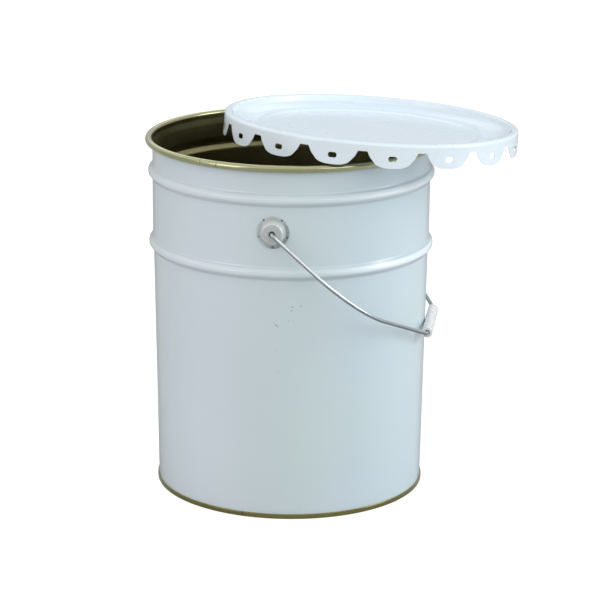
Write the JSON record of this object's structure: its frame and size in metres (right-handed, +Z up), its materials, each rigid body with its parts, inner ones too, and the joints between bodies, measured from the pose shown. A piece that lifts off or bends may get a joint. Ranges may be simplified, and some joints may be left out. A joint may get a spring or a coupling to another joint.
{
  "type": "paint can",
  "caption": "Round steel pail with rolled beads, curled rim and double-seamed base, a wire bail with plastic grip on side ears, and a loose lugged lid resting askew on the rim.",
  "frame": {"origin": "centre of the standing plane, on the pail's own axis", "axes": "+Z up along the pail's axis, Y through the two ears with ear_front at -Y, bail hanging on the +X side"},
  "size_m": [0.3788, 0.3206, 0.3927],
  "materials": {
    "body_coating": "satin",
    "gold_lacquer": "gloss",
    "compound": "matte",
    "ear_steel": "satin",
    "wire_steel": "satin",
    "grip_plastic": "milky, slightly translucent",
    "lid_enamel": "gloss",
    "gasket_rubber": "matte"
  },
  "bodies": {
    "pail": {"body_shell": "body_coating", "bottom_end": "gold_lacquer", "seam_compound": "compound", "ear_front": "ear_steel", "ear_rear": "ear_steel"},
    "bail": {"bail_wire": "wire_steel"},
    "handle_grip": {"grip": "grip_plastic"},
    "cover": {"lid": "lid_enamel", "lid_gasket": "gasket_rubber"}
  },
  "joints": [
    {"name": "bail_swing", "type": "hinge", "parent": "pail", "child": "bail", "pos_m": [0, 0, 0.2975], "axis": [0, -1, 0], "range_deg": [0, 57]},
    {"name": "grip_spin", "type": "hinge", "parent": "bail", "child": "handle_grip", "pos_m": [0.14545, 0, 0.17371], "axis": [0, 1, 0], "continuous": true},
    {"name": "lid_lift", "type": "slide", "parent": "pail", "child": "cover", "axis": [0, 0, 1], "range_m": [0, 0.25]}
  ]
}
